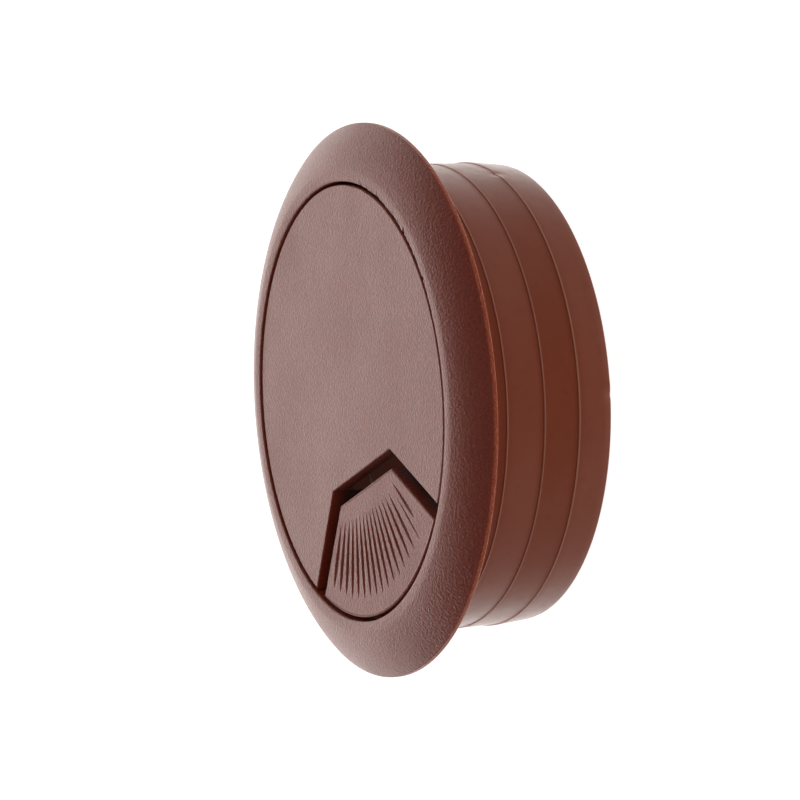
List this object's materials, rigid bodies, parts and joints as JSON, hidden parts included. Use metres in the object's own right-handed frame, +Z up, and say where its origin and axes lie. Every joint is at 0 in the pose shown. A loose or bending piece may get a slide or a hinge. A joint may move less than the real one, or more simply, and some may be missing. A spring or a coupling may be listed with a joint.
{
  "type": "desk grommet",
  "caption": "Round flanged desk grommet: stepped sleeve for a 60 mm hole, turning cover with a sprung fan-shaped cable flap.",
  "frame": {"origin": "on the sleeve's axis in the plane of the flange's flat underside, which is the desk top", "axes": "+Z up out of the desk along the sleeve's axis; the cable slot opens towards -Y"},
  "size_m": [0.07, 0.07, 0.0219],
  "materials": {
    "liner": "brown moulded plastic, fine spark grain on the flange, satin on the sleeve",
    "cover": "brown moulded plastic with a fine spark grain",
    "flap": "brown moulded plastic with a fine spark grain and fan grooves",
    "pin_steel": "plain drawn steel, dull",
    "spring_steel": "oil-blackened spring wire"
  },
  "bodies": {
    "liner": {"liner": "liner"},
    "cover": {"cover": "cover", "hinge_pin": "pin_steel", "flap_spring": "spring_steel"},
    "flap": {"flap": "flap"}
  },
  "joints": [
    {"name": "cover_turn", "type": "hinge", "parent": "liner", "child": "cover", "pos_m": [0, 0, 0], "axis": [0, 0, 1], "continuous": true},
    {"name": "flap_swing", "type": "hinge", "parent": "cover", "child": "flap", "pos_m": [0, -0.01345, 0.00042], "axis": [1, 0, 0], "range_deg": [0, 75], "stiffness_Nm_per_rad": 0.004, "springref_deg": -28.65, "deforming": ["flap_spring"]}
  ]
}
